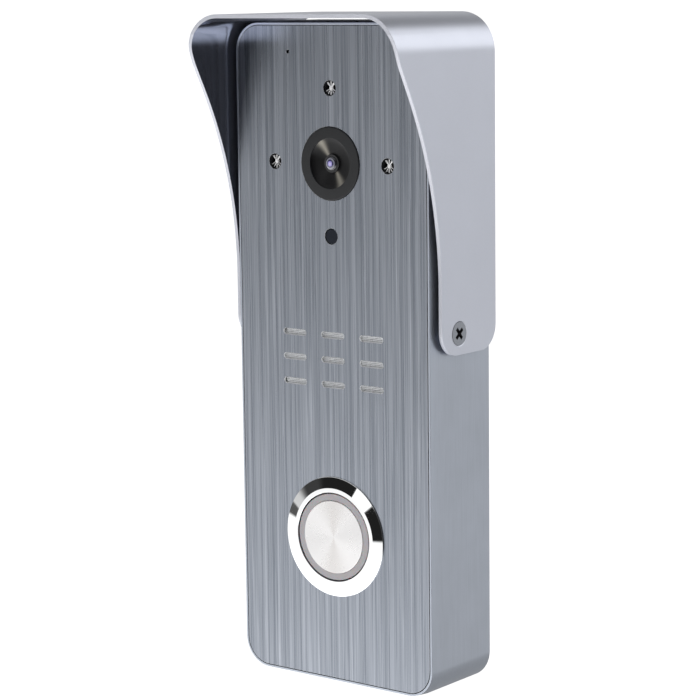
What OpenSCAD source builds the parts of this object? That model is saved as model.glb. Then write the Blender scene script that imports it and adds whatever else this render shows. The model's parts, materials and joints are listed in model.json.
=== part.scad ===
/* [Body] */
// Width of the housing across its back
body_w = 49.4; // [47:0.1:80]
// Height of the housing
body_h = 136; // [134:0.1:200]
// Depth from the wall to the front of the plate
body_d = 20; // [19.5:0.1:32]
// Corner radius of the housing seen from the front
body_r = 6.2; // [5:0.1:9]
// Wall thickness of the housing
wall_t = 1.8; // [1.5:0.1:2.4]
// Depth of the tapered band round the front edge
band_d = 3; // [2:0.1:5]
// How far the band leans in at the front edge
band_in = 0.3; // [0.1:0.05:0.5]
// Width of the thin rim round the front plate
rim_t = 0.45; // [0.3:0.05:0.8]

/* [Front plate] */
// Thickness of the front plate
plate_t = 1.5; // [1:0.1:2]
// Gap between the plate and the rim round it
plate_gap = 0.15; // [0.1:0.05:0.5]
// Thickness of the foam gasket behind the plate
gasket_t = 0.5; // [0.3:0.1:0.8]
// Radius of the studs welded to the back of the plate
stud_r = 1.25; // [1:0.05:1.5]
// Radius of the microphone hole
mic_hole_r = 0.4; // [0.3:0.05:0.8]
// Distance of the microphone hole to the left of the middle
mic_side = 10.65; // [8:0.05:14]
// Distance of the microphone hole below the top
mic_down = 6.1; // [5.5:0.1:9]

/* [Rain hood] */
// Thickness of the hood's sheet
hood_t = 0.8; // [0.7:0.1:1.6]
// Gap between the hood and the sides of the housing
hood_gap = 0.9; // [0.3:0.1:1.5]
// Gap between the hood and the top of the housing
hood_top_gap = 0.8; // [0.3:0.1:1.5]
// How far the hood reaches in front of the plate
hood_reach = 13; // [9:0.5:20]
// Height of the hood from its top to the ends of its tabs
hood_h = 67.6; // [64:0.1:90]
// Radius of the corners at the ends of the tabs
tab_r = 5; // [3:0.1:7]
// Radius of the hollow curve of the side edge
sweep_r = 82; // [60:1:90]
// Radius of the round curve of the side edge
brow_r = 18; // [14:1:20]
// Lean of the side edge between its two curves
sweep_lean = 28; // [26:1:32]

/* [Camera and lights] */
// Distance of the camera below the top
camera_down = 28.4; // [27:0.1:40]
// Outer radius of the camera bezel
camera_r = 7.4; // [6:0.1:9]
// Radius of the dish inside the bezel
dish_r = 5.1; // [4:0.1:5.5]
// Radius of the lens glass
lens_r = 1.45; // [1:0.05:1.8]
// Distance of the side lamps from the middle
lamp_side = 14.4; // [13:0.1:15.5]
// Distance of the top lamp above the camera
lamp_rise = 15.1; // [13:0.1:16]
// Radius of a lamp
lamp_r = 1.5; // [1.2:0.05:1.8]
// Distance of the light sensor below the camera
sensor_drop = 14.7; // [13:0.1:16]
// Radius of the light sensor window
sensor_r = 1.55; // [1.2:0.05:2]

/* [Speaker] */
// Distance of the speaker below the camera
speaker_drop = 40; // [38:0.1:44]
// Outer radius of the speaker
speaker_r = 14; // [12.5:0.1:17]
// Length of a sound slot
slot_l = 6; // [4:0.1:7]
// Width of a sound slot
slot_w = 1.3; // [1:0.1:2]
// Thickness of the plate left in front of the mesh
slot_d = 0.5; // [0.4:0.05:0.8]
// Spacing of the slots across
slot_dx = 9.9; // [8:0.1:10.5]
// Spacing of the slots up and down
slot_dz = 5.1; // [4:0.1:6]

/* [Call button] */
// Height of the button above the bottom
button_up = 30.9; // [28:0.1:40]
// Outer radius of the button's bezel
button_r = 12.5; // [11:0.1:15.5]
// How far the bezel stands in front of the plate
button_proud = 0.7; // [0.6:0.1:1.6]
// Radius of the metal cap
cap_r = 7.6; // [6:0.1:8]
// Width of the lit ring round the cap
glow_w = 1.4; // [1:0.1:1.8]
// Gap between the moving plunger and the bezel
slide_gap = 0.3; // [0.2:0.05:0.4]
// Distance the button moves when it is pressed
button_travel = 1.5; // [1:0.1:1.6]

/* [Wall side] */
// Thickness of the wall bracket's sheet
bracket_t = 1.2; // [1:0.1:1.5]
// Distance between the two wall screws
wall_pitch = 84; // [80:1:86]
// Radius of the wall screw holes
wall_hole_r = 2.2; // [1.8:0.1:2.6]
// Thickness of the back cover
cover_t = 1.6; // [1.2:0.1:2]
// Radius of the cable hole through the grommet
cable_r = 3; // [2:0.1:3.5]

/* [Hidden] */
$fn = 64;

// A small overlap that lets a cut pass right through a face.
cut = 0.5;

// The origin is the middle of the wall face: -Y is the front, +Z is up.
top_z = body_h / 2;
bottom_z = -body_h / 2;
front_y = -body_d;
side_x = body_w / 2;

// Front opening of the housing, measured at the thin rim.
mouth_w = body_w - 2 * (band_in + rim_t);
mouth_h = body_h - 2 * (band_in + rim_t);
mouth_r = body_r - band_in - rim_t;
plate_w = mouth_w - 2 * plate_gap;
plate_h = mouth_h - 2 * plate_gap;
plate_r = mouth_r - plate_gap;
plate_back = front_y + plate_t;
ledge_y = plate_back + gasket_t;
cavity_w = body_w - 2 * wall_t;
cavity_h = body_h - 2 * wall_t;
cavity_r = body_r - wall_t;

// Heights of the things on the front plate.
camera_z = top_z - camera_down;
lamp_z = camera_z + lamp_rise;
sensor_z = camera_z - sensor_drop;
speaker_z = camera_z - speaker_drop;
button_z = bottom_z + button_up;
mic_z = top_z - mic_down;

// Microphone behind its hole.
capsule_r = 2;
capsule_y = plate_back + 1.2;
capsule_t = 2.6;
boot_r = 3;
boot_end = capsule_y + capsule_t + 0.2;

// Plate studs and the lugs of the housing that they pass through.
stud_x = cavity_w / 2 - 3.4;
stud_z = cavity_h / 2 - 3.4;
stud_gap = 0.2;
lug_r = 3.2;
lug_t = 2.2;
lug_back = ledge_y + lug_t;
nut_t = 2;
stud_end = lug_back + nut_t + 1;
nut_r = 2.6;
thread_gap = 0.05;

// Back cover, its bosses and its screws.
cover_room = 2.2;
cover_back = -bracket_t - cover_room;
cover_front = cover_back - cover_t;
cover_gap = 0.15;
boss_r = 2.5;
boss_x = cavity_w / 2 - boss_r - 0.3;
boss_z = wall_pitch / 2 + 6;
boss_front = cover_front - 8.5;
cover_screw_r = 0.95;
cover_head_r = 2;
cover_head_t = 1.3;
cover_seal_w = 0.8;
cover_seal_in = 0.85;

// Camera and light stack, from the plate towards the wall.
bezel_proud = 0.25;
bezel_flange_t = 0.9;
carrier_y = plate_back + bezel_flange_t;
carrier_t = 2.1;
light_board_y = carrier_y + carrier_t;
board_t = 1;
barrel_r = 4;
nose_r = lens_r + 0.4;
lens_back = front_y + 0.35;
lens_rise = 0.55;
dish_step = 0.3;
dish_d = 1;
flange_out = 1.6;
module_y = light_board_y + board_t + 0.3;
module_t = 2;
module_w = 12;
camera_board_y = module_y + module_t;
camera_board_w = 22;
camera_board_up = 9;
camera_board_drop = 11;
fit_gap = 0.1;
carrier_w = 2 * (lamp_side + 2.7);
carrier_top = lamp_z + 3.4;
carrier_bottom = camera_z - 6.4;
cheek_w = 9;
cheek_up = 4.5;
tongue_w = 8;
cup_out = 0.4;
bulb_r = lamp_r - 0.25;
window_out = 0.6;
tongue_bottom = sensor_z - 3;

// Speaker stack.
mesh_t = 0.25;
mesh_y = front_y + slot_d;
speaker_y = plate_back + 1.05;
gasket_w = 2;
basket_d = 3.2;
basket_t = 0.7;
basket_rim_t = 1;
magnet_r = speaker_r / 2;
magnet_t = 2.4;

// Call button.
glow_r = cap_r + glow_w;
bezel_bore_r = glow_r + slide_gap;
bezel_top_w = 0.9;
barrel_wall = 0.9;
collar_w = 0.8;
collar_r = glow_r + collar_w;
chamber_r = collar_r + slide_gap;
button_barrel_r = chamber_r + barrel_wall;
button_face = front_y - button_proud;
bezel_lip = 0.25;
plunger_back = front_y + 3.4;
collar_t = 1.4;
cap_t = 0.65;
cap_sink = 0.05;
glow_sink = 0.15;
stem_r = 2.4;
stem_l = 2.4;
switch_y = plunger_back + stem_l + button_travel + 0.5;
switch_t = 4.4;
switch_well = 2;
spring_r = 4.2;
spring_wire_r = 0.35;
spring_turns = 4;
button_nut_r = button_barrel_r + 1.9;
button_nut_t = 2.5;
seal_t = 0.2;
seal_w = 0.5;
terminal_t = 0.8;
terminal_w = 2;
terminal_side = 4;

// Main board.
main_w = 2 * (boss_x - boss_r - 0.6);
main_top = top_z - 9;
main_bottom = button_z + button_nut_r + 2.4;
main_board_t = 1.6;
main_back = cover_front - 3;
main_front = main_back - main_board_t;
standoff_r = 2;
standoff_in = 3;
standoff_end = 3.5;
chip_w = 12;
chip_t = 0.9;
capacitor_r = 3;
capacitor_h = 3.4;
ways = 4;
way_pitch = 3.6;
way_r = 1;
way_block_h = 6;
way_block_d = 3.6;

// Cable way and bracket.
grommet_z = bottom_z + 12;
grommet_r = cable_r + 2;
grommet_flange = 1.2;
grommet_lip = 1;
bracket_w = 2 * (boss_x - cover_head_r - 0.9);
bracket_top = wall_pitch / 2 + 10;
hook_x = 10;
hook_w = 6;
hook_z = wall_pitch / 2 + 4;
hook_lip = 4.2;
hook_t = 1.2;
hook_reach = -cover_front + 1.6;
slot_gap = 0.3;
flange_w = 12;
flange_z = bottom_z + wall_t + 0.4;
lock_y = cover_front - 1.6;
flange_reach = -lock_y + 2.4;
lock_r = 1.25;
lock_head_r = 2.7;
lock_head_t = 0.9;

// Hood section and side outline, worked out from the housing.
hood_in_x = side_x + hood_gap;
hood_out_x = hood_in_x + hood_t;
hood_in_z = top_z + hood_top_gap;
hood_out_z = hood_in_z + hood_t;
hood_in_r = body_r + hood_gap;
hood_out_r = hood_in_r + hood_t;
hood_bottom = hood_out_z - hood_h;
hood_front = front_y - hood_reach;
tab_front = front_y + 1.4;
hood_screw_y = front_y + 7.3;
hood_screw_z = hood_bottom + 4.3;
hood_screw_r = 1.45;
hood_screw_l = hood_gap + wall_t + 2;
hood_head_r = 2.4;
hood_boss_r = 3;
hood_boss_l = 3.2;
// The hollow curve starts at sweep_z, and the round one ends at brow_z.
brow_z = hood_out_z - 2.3;
sweep_out = sweep_r * (1 - cos(sweep_lean));
brow_out = brow_r * (1 - cos(sweep_lean));
straight_out = tab_front - hood_front - sweep_out - brow_out;
straight_up = straight_out / tan(sweep_lean);
sweep_z = brow_z - brow_r * sin(sweep_lean) - straight_up - sweep_r * sin(sweep_lean);

// A rounded rectangle with exact arcs.
module round_rect(w, h, r) {
    square([w - 2 * r, h], center = true);
    square([w, h - 2 * r], center = true);
    for (sx = [-1, 1])
        for (sz = [-1, 1])
            translate([sx * (w / 2 - r), sz * (h / 2 - r)]) circle(r);
}

// A slot with round ends, l long over all.
module obround(l, w) {
    square([l - w, w], center = true);
    for (side = [-1, 1])
        translate([side * (l - w) / 2, 0]) circle(w / 2);
}

// Stands a drawing up in the XZ plane, from y0 back to y1.
module upright(y0, y1) {
    translate([0, y1, 0]) rotate([90, 0, 0]) linear_extrude(y1 - y0) children();
}

// A round bar along Y.
module disc(r, y0, y1, x = 0, z = 0) {
    translate([x, y0, z]) rotate([-90, 0, 0]) cylinder(r = r, h = y1 - y0);
}

// A cone along Y.
module taper(r0, r1, y0, y1, x = 0, z = 0) {
    translate([x, y0, z]) rotate([-90, 0, 0]) cylinder(r1 = r0, r2 = r1, h = y1 - y0);
}

// A box given by its limits.
module box(x0, x1, y0, y1, z0, z1) {
    translate([x0, y0, z0]) cube([x1 - x0, y1 - y0, z1 - z0]);
}

// A rounded slab whose front is smaller by inset all round.
module leaning_slab(w, h, r, inset, y0, y1) {
    for (sx = [-1, 1])
        for (sz = [-1, 1])
            taper(r - inset, r, y0, y1, sx * (w / 2 - r), sz * (h / 2 - r));
    translate([0, 0, -(h / 2 - r)])
        linear_extrude(h - 2 * r)
            polygon([[-w / 2 + inset, y0], [w / 2 - inset, y0], [w / 2, y1], [-w / 2, y1]]);
    translate([-(w / 2 - r), 0, 0]) rotate([0, 90, 0])
        linear_extrude(w - 2 * r)
            polygon([[-h / 2 + inset, y0], [h / 2 - inset, y0], [h / 2, y1], [-h / 2, y1]]);
}

// Copies its children to each of the four corners.
module corners(x, z) {
    for (sx = [-1, 1])
        for (sz = [-1, 1])
            translate([sx * x, 0, sz * z]) children();
}

// A cross slot for a screwdriver, cut from the origin along -Z of the screw.
module cross_slot(l, w, d) {
    translate([0, 0, -d / 2]) {
        cube([l, w, d + 0.001], center = true);
        cube([w, l, d + 0.001], center = true);
    }
}

// Cast aluminium shell, open at the front for the plate and at the back for the cover.
module housing() {
    color("#a9adb4") difference() {
        union() {
            difference() {
                union() {
                    leaning_slab(body_w, body_h, body_r, band_in, front_y, front_y + band_d);
                    upright(front_y + band_d, 0) round_rect(body_w, body_h, body_r);
                }
                upright(front_y - cut, ledge_y) round_rect(mouth_w, mouth_h, mouth_r);
                upright(front_y, cut) round_rect(cavity_w, cavity_h, cavity_r);
            }
            housing_lugs();
            housing_bosses();
            for (side = [-1, 1])
                translate([side * hood_in_x, hood_screw_y, hood_screw_z]) rotate([0, -side * 90, 0])
                    cylinder(r = hood_boss_r, h = hood_gap + wall_t + hood_boss_l);
        }
        for (side = [-1, 1])
            translate([side * side_x, hood_screw_y, hood_screw_z])
                rotate([0, 90, 0]) cylinder(r = hood_screw_r + thread_gap, h = 20, center = true);
        translate([0, lock_y, bottom_z - cut]) cylinder(r = lock_r + 0.35, h = wall_t + 2 * cut);
        translate([0, lock_y, bottom_z - cut]) cylinder(r = lock_head_r + 0.2, h = lock_head_t + cut);
    }
}

// Corner lugs that the plate's studs pass through.
module housing_lugs() {
    for (sx = [-1, 1])
        for (sz = [-1, 1])
            difference() {
                intersection() {
                    union() {
                        disc(lug_r, ledge_y, lug_back, sx * stud_x, sz * stud_z);
                        translate([sx * (stud_x + 4), (ledge_y + lug_back) / 2, sz * stud_z])
                            cube([8, lug_t, 2 * lug_r], center = true);
                        translate([sx * stud_x, (ledge_y + lug_back) / 2, sz * (stud_z + 4)])
                            cube([2 * lug_r, lug_t, 8], center = true);
                    }
                    upright(ledge_y, lug_back) round_rect(cavity_w + 0.6, cavity_h + 0.6, cavity_r + 0.3);
                }
                disc(stud_r + stud_gap, ledge_y - cut, lug_back + cut, sx * stud_x, sz * stud_z);
            }
}

// Side bosses that the cover's screws go into.
module housing_bosses() {
    web_end = cavity_w / 2 + 0.3;
    for (sx = [-1, 1])
        for (sz = [-1, 1])
            difference() {
                union() {
                    disc(boss_r, boss_front, cover_front, sx * boss_x, sz * boss_z);
                    translate([sx * (boss_x + web_end) / 2, (boss_front + cover_front) / 2, sz * boss_z])
                        cube([web_end - boss_x, cover_front - boss_front, 2 * boss_r - 1], center = true);
                }
                disc(cover_screw_r + thread_gap, boss_front + 1, cover_front + cut, sx * boss_x, sz * boss_z);
            }
}

// Brushed steel plate with its holes, and four studs welded behind it.
module front_plate() {
    color("#8b9098") {
        difference() {
            upright(front_y, plate_back) round_rect(plate_w, plate_h, plate_r);
            disc(camera_r + fit_gap, front_y - cut, plate_back + cut, 0, camera_z);
            disc(lamp_r + fit_gap, front_y - cut, plate_back + cut, 0, lamp_z);
            for (side = [-1, 1])
                disc(lamp_r + fit_gap, front_y - cut, plate_back + cut, side * lamp_side, camera_z);
            disc(sensor_r + fit_gap, front_y - cut, plate_back + cut, 0, sensor_z);
            disc(mic_hole_r, front_y - cut, plate_back + cut, -mic_side, mic_z);
            disc(button_barrel_r + fit_gap, front_y - cut, plate_back + cut, 0, button_z);
            disc(speaker_r + fit_gap, mesh_y, plate_back + cut, 0, speaker_z);
            for (column = [-1, 0, 1])
                for (row = [-1, 0, 1])
                    translate([column * slot_dx, 0, speaker_z + row * slot_dz])
                        upright(front_y - cut, plate_back + cut) obround(slot_l, slot_w);
        }
        corners(stud_x, stud_z) disc(stud_r, plate_back - 0.1, stud_end);
    }
}

// Black foam ring that the plate is pulled down on.
module plate_gasket() {
    color("#17181a") difference() {
        upright(plate_back, ledge_y) round_rect(mouth_w - 0.2, mouth_h - 0.2, mouth_r - 0.1);
        upright(plate_back - cut, ledge_y + cut) round_rect(cavity_w, cavity_h, cavity_r);
    }
}

// Outline of the hood seen from the side, drawn as depth against height.
module hood_side() {
    difference() {
        translate([hood_front, hood_bottom]) square([-hood_front, hood_out_z + cut - hood_bottom]);
        hood_front_cut();
        tab_corner(0, -1);
        tab_corner(tab_front, 1);
    }
}

// What is cut away in front of the hood's side edge.
module hood_front_cut() {
    lower = [tab_front - sweep_out, sweep_z + sweep_r * sin(sweep_lean)];
    upper = [hood_front + brow_out, brow_z - brow_r * sin(sweep_lean)];
    difference() {
        union() {
            translate([tab_front - 2 * sweep_r, hood_bottom - cut])
                square([2 * sweep_r, sweep_z - hood_bottom + cut]);
            translate([tab_front - sweep_r, sweep_z]) circle(sweep_r, $fn = 360);
            polygon([lower, upper, [hood_front - cut, brow_z], [hood_front - 20, brow_z],
                [hood_front - 20, sweep_z]]);
        }
        translate([hood_front + brow_r, brow_z]) circle(brow_r, $fn = 128);
    }
}

// The bit outside a round corner of a tab; side is 1 for the front and -1 for the back.
module tab_corner(y, side) {
    difference() {
        translate([y + side * (tab_r - cut) / 2, hood_bottom + (tab_r - cut) / 2])
            square(tab_r + cut, center = true);
        translate([y + side * tab_r, hood_bottom + tab_r]) circle(tab_r);
    }
}

// Bent sheet hood, an upside-down U over the top of the housing.
module rain_hood() {
    depth = -hood_front + 2 * cut;
    color("#b4b8bf") difference() {
        intersection() {
            translate([0, cut, 0]) rotate([90, 0, 0]) linear_extrude(depth) difference() {
                hood_section(hood_out_x, hood_out_z, hood_out_r);
                hood_section(hood_in_x, hood_in_z, hood_in_r);
            }
            translate([-side_x - 10, 0, 0]) rotate([90, 0, 90]) linear_extrude(body_w + 20) hood_side();
        }
        for (side = [-1, 1])
            translate([side * hood_out_x, hood_screw_y, hood_screw_z]) rotate([0, side * 90, 0]) {
                translate([0, 0, -hood_t - cut]) cylinder(r = hood_screw_r + 0.15, h = hood_t + 2 * cut);
                translate([0, 0, -hood_t + 0.1])
                    cylinder(r1 = hood_screw_r + 0.15, r2 = hood_head_r + 0.15, h = hood_t - 0.1);
                cylinder(r = hood_head_r + 0.15, h = cut);
            }
    }
}

// Section of a block with two round top corners that reaches well below the hood's tabs.
module hood_section(x, z, r) {
    translate([-x + r, -body_h]) square([2 * (x - r), z + body_h]);
    translate([-x, -body_h]) square([2 * x, z - r + body_h]);
    for (side = [-1, 1])
        translate([side * (x - r), z - r]) circle(r);
}

// Countersunk screw that holds one side of the hood to the housing.
module hood_screw(side) {
    color("#8d9197")
        translate([side * hood_out_x, hood_screw_y, hood_screw_z]) rotate([0, side * 90, 0]) difference() {
            union() {
                translate([0, 0, -hood_t + 0.1])
                    cylinder(r1 = hood_screw_r, r2 = hood_head_r, h = hood_t - 0.1);
                translate([0, 0, -hood_t - hood_screw_l]) cylinder(r = hood_screw_r, h = hood_screw_l + 0.2);
            }
            rotate([0, 0, 40]) cross_slot(2.8, 0.8, 1.1);
        }
}
module hood_screw_left() { hood_screw(-1); }
module hood_screw_right() { hood_screw(1); }

// Black bezel pushed through the plate from behind, with a shallow dish.
module camera_bezel() {
    face = front_y - bezel_proud;
    color("#303134") difference() {
        union() {
            disc(camera_r, face, plate_back, 0, camera_z);
            disc(camera_r + flange_out, plate_back, carrier_y, 0, camera_z);
        }
        disc(dish_r, face - cut, face + dish_step, 0, camera_z);
        taper(dish_r, nose_r, face + dish_step, face + dish_d, 0, camera_z);
        disc(nose_r + fit_gap, face, carrier_y + cut, 0, camera_z);
    }
}

// Front glass of the lens, a shallow dome.
module camera_lens() {
    ball = (lens_r * lens_r + lens_rise * lens_rise) / (2 * lens_rise);
    color("#3a3350") intersection() {
        translate([0, lens_back - lens_rise + ball, camera_z]) sphere(ball, $fn = 96);
        disc(lens_r, lens_back - 1, lens_back, 0, camera_z);
    }
}

// Barrel that carries the glass in the camera module.
module lens_barrel() {
    color("#1c1c1f") union() {
        disc(nose_r, lens_back, carrier_y, 0, camera_z);
        disc(barrel_r, carrier_y, module_y, 0, camera_z);
    }
}

// Square housing of the image sensor.
module camera_module() {
    color("#232326")
        box(-module_w / 2, module_w / 2, module_y, camera_board_y, camera_z - module_w / 2,
            camera_z + module_w / 2);
}

module camera_board() {
    color("#1e5a3c")
        box(-camera_board_w / 2, camera_board_w / 2, camera_board_y, camera_board_y + board_t,
            camera_z - camera_board_drop, camera_z + camera_board_up);
}

// Drawing shared by the lamp carrier and the lamp board behind it.
module light_outline() {
    translate([-carrier_w / 2, carrier_bottom]) square([carrier_w, camera_z + cheek_up - carrier_bottom]);
    translate([-carrier_w / 2 + cheek_w, camera_z])
        square([carrier_w - 2 * cheek_w, carrier_top - camera_z]);
    translate([-tongue_w / 2, tongue_bottom]) square([tongue_w, carrier_bottom - tongue_bottom + 1]);
}

// Black moulding that spaces the lamps and the camera behind the plate.
module light_carrier() {
    color("#26272a") difference() {
        upright(carrier_y, light_board_y) light_outline();
        disc(barrel_r + fit_gap, carrier_y - cut, light_board_y + cut, 0, camera_z);
        disc(lamp_r + cup_out + fit_gap, carrier_y - cut, light_board_y + cut, 0, lamp_z);
        for (side = [-1, 1])
            translate([side * lamp_side, 0, camera_z])
                disc(lamp_r + cup_out + fit_gap, carrier_y - cut, light_board_y + cut);
        disc(sensor_r + window_out + fit_gap, carrier_y - cut, light_board_y + cut, 0, sensor_z);
    }
}

// Circuit board behind the lamps, with a hole for the lens barrel.
module light_board() {
    color("#1e5a3c") difference() {
        upright(light_board_y, light_board_y + board_t) light_outline();
        disc(barrel_r + fit_gap, light_board_y - cut, light_board_y + board_t + cut, 0, camera_z);
    }
}

// Clear lamp with a domed tip, standing on the lamp board.
module lamp(x, z) {
    tip = front_y + 0.15;
    color("#dfe4ea") {
        translate([x, tip + bulb_r, z]) sphere(bulb_r, $fn = 64);
        disc(bulb_r, tip + bulb_r, light_board_y, x, z);
    }
}
module lamp_top() { lamp(0, lamp_z); }
module lamp_left() { lamp(-lamp_side, camera_z); }
module lamp_right() { lamp(lamp_side, camera_z); }

// Bright cup round a lamp.
module reflector(x, z) {
    color("#d2d5d9") difference() {
        union() {
            disc(lamp_r, front_y + 0.3, plate_back, x, z);
            disc(lamp_r + cup_out, plate_back, light_board_y, x, z);
        }
        disc(bulb_r + 0.02, front_y, light_board_y + cut, x, z);
    }
}
module reflector_top() { reflector(0, lamp_z); }
module reflector_left() { reflector(-lamp_side, camera_z); }
module reflector_right() { reflector(lamp_side, camera_z); }

// Smoked window of the light sensor.
module sensor_window() {
    color("#22242b") union() {
        disc(sensor_r, front_y + 0.1, plate_back, 0, sensor_z);
        disc(sensor_r + window_out, plate_back, carrier_y, 0, sensor_z);
    }
}

// Photocell behind the window.
module sensor_cell() {
    color("#9a5a32")
        disc(sensor_r + window_out - 0.1, carrier_y, light_board_y, 0, sensor_z);
}

// Fine metal mesh in a pocket of the plate, right behind the sound slots.
module speaker_mesh() {
    color("#9fa3a8")
        disc(speaker_r - 0.2, mesh_y, mesh_y + mesh_t, 0, speaker_z);
}

// Foam ring that seals the speaker to the plate.
module speaker_gasket() {
    color("#1b1b1d") difference() {
        disc(speaker_r, mesh_y + mesh_t, speaker_y, 0, speaker_z);
        disc(speaker_r - gasket_w, mesh_y, speaker_y + cut, 0, speaker_z);
    }
}

// Steel basket of the speaker.
module speaker_frame() {
    color("#6f7378") difference() {
        union() {
            disc(speaker_r, speaker_y, speaker_y + basket_rim_t, 0, speaker_z);
            taper(speaker_r - 1.9 + basket_t, magnet_r + 0.9 + basket_t, speaker_y + basket_rim_t,
                speaker_y + basket_d, 0, speaker_z);
        }
        taper(speaker_r - 1.9, magnet_r + 0.6, speaker_y - 0.01, speaker_y + basket_d - 0.5, 0, speaker_z);
    }
}

// Paper cone with a centre cap, glued inside the basket's rim.
module speaker_cone() {
    rim = speaker_r - 3.2;
    throat = magnet_r - 3;
    surround = speaker_r - 2.25;
    color("#2a2826") translate([0, speaker_y, speaker_z]) rotate([-90, 0, 0]) {
        rotate_extrude()
            polygon([[throat, 1.7], [rim, 0], [surround, 0], [surround, 0.15], [rim, 0.3], [throat, 2]]);
        translate([0, 0, 1.7]) cylinder(r = throat + 0.05, h = 0.3);
    }
}

module speaker_magnet() {
    color("#3b3c3f")
        disc(magnet_r, speaker_y + basket_d, speaker_y + basket_d + magnet_t, 0, speaker_z);
}

// Rubber boot that seals the microphone to its hole.
module mic_boot() {
    color("#1d1d1f") difference() {
        disc(boot_r, plate_back, boot_end, -mic_side, mic_z);
        disc(mic_hole_r + fit_gap, plate_back - cut, capsule_y + cut, -mic_side, mic_z);
        disc(capsule_r + thread_gap, capsule_y, boot_end + cut, -mic_side, mic_z);
    }
}

module mic_capsule() {
    color("#b9bcc0")
        disc(capsule_r, capsule_y, capsule_y + capsule_t, -mic_side, mic_z);
}

// Polished bezel and threaded barrel of the call button, in one turned piece.
module button_bezel() {
    color("#d9dbde") difference() {
        union() {
            disc(button_r, front_y - bezel_lip, front_y, 0, button_z);
            taper(bezel_bore_r + bezel_top_w, button_r, button_face, front_y - bezel_lip, 0, button_z);
            disc(button_barrel_r, front_y - cut, switch_y + switch_t - 0.6, 0, button_z);
        }
        disc(bezel_bore_r, button_face - cut, switch_y + switch_t, 0, button_z);
        disc(chamber_r, plunger_back - collar_t - slide_gap, switch_y + switch_t, 0, button_z);
        seal_ring(front_y + cut);
    }
}

// Flat ring just outside the barrel, under the bezel.
module seal_ring(back) {
    difference() {
        disc(button_barrel_r + fit_gap + seal_w, front_y - seal_t, back, 0, button_z);
        disc(button_barrel_r + fit_gap, front_y - seal_t - cut, back + cut, 0, button_z);
    }
}

// Rubber ring between the bezel and the plate.
module button_seal() {
    color("#161617") seal_ring(front_y);
}

// Hexagonal nut that clamps the bezel to the plate.
module button_nut() {
    color("#b08d57") difference() {
        translate([0, plate_back, button_z]) rotate([-90, 0, 0])
            cylinder(r = button_nut_r, h = button_nut_t, $fn = 6);
        disc(button_barrel_r + thread_gap, plate_back - cut, plate_back + button_nut_t + cut, 0, button_z);
    }
}

// Spun metal cap pressed into the front of the plunger.
module button_cap() {
    color("#e6e6e6")
        disc(cap_r, button_face + cap_sink, button_face + cap_sink + cap_t, 0, button_z);
}

// Clear plunger: its rim is the lit ring, and its collar holds it in the barrel.
module button_plunger() {
    color("#a8a5aa") difference() {
        union() {
            disc(glow_r, button_face + glow_sink, plunger_back, 0, button_z);
            disc(collar_r, plunger_back - collar_t, plunger_back, 0, button_z);
            disc(stem_r, plunger_back, plunger_back + stem_l, 0, button_z);
        }
        disc(cap_r + thread_gap, button_face, button_face + cap_sink + cap_t, 0, button_z);
    }
}

// Points of a round wire wound along a coil, ring by ring.
function coil_ring(turn, r, wire, length) =
    let (angle = 360 * turn, rise = wire + (length - 2 * wire) * turn / spring_turns)
    [for (k = [0 : 7])
        let (a = 45 * k, out = r + wire * cos(a))
        [out * cos(angle), out * sin(angle), rise + wire * sin(a)]];

// Return spring between the plunger and the switch block.
module button_spring() {
    steps = 24 * spring_turns;
    length = switch_y - plunger_back - 0.1;
    points = [for (s = [0 : steps]) each coil_ring(s / 24, spring_r, spring_wire_r, length)];
    last = 8 * steps;
    sides = [for (s = [0 : steps - 1]) for (k = [0 : 7])
        [8 * s + k, 8 * s + (k + 1) % 8, 8 * s + 8 + (k + 1) % 8, 8 * s + 8 + k]];
    ends = [[for (k = [7 : -1 : 0]) k], [for (k = [0 : 7]) last + k]];
    color("#c9ccd0") translate([0, plunger_back + 0.05, button_z]) rotate([-90, 0, 0])
        polyhedron(points = points, faces = concat(sides, ends));
}

// Contact block that closes the back of the barrel.
module button_switch() {
    color("#1f2023") difference() {
        disc(chamber_r - thread_gap, switch_y, switch_y + switch_t, 0, button_z);
        disc(stem_r + 0.6, switch_y - cut, switch_y + switch_well, 0, button_z);
    }
}

// Four solder pins on the back of the contact block.
module button_terminals() {
    color("#c8a24a")
        for (sx = [-1, 1])
            for (sz = [-1, 1])
                translate([sx * terminal_side, switch_y + switch_t + terminal_t / 2,
                    button_z + sz * terminal_side]) cube([terminal_w, terminal_t, 0.6], center = true);
}

// Main circuit board on the posts of the back cover.
module main_board() {
    color("#1b4f34")
        box(-main_w / 2, main_w / 2, main_front, main_back, main_bottom, main_top);
}

module processor() {
    color("#202124")
        box(-chip_w / 2, chip_w / 2, main_front - chip_t, main_front, sensor_z - chip_w / 2,
            sensor_z + chip_w / 2);
}

module capacitor() {
    color("#2b3c63")
        disc(capacitor_r, main_front - capacitor_h, main_front, -main_w / 2 + capacitor_r + 1,
            main_bottom + capacitor_r + 1.2);
}

// Screw terminals for the cable.
module terminal_block() {
    color("#2e7d4f") difference() {
        box(-way_pitch / 2 - 1, (ways - 0.5) * way_pitch + 1, main_front - way_block_d, main_front,
            main_bottom + 1, main_bottom + 1 + way_block_h);
        for (k = [0 : ways - 1])
            disc(way_r, main_front - way_block_d - cut, main_front - 2, k * way_pitch,
                main_bottom + 1 + way_block_h / 2);
    }
}

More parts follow.
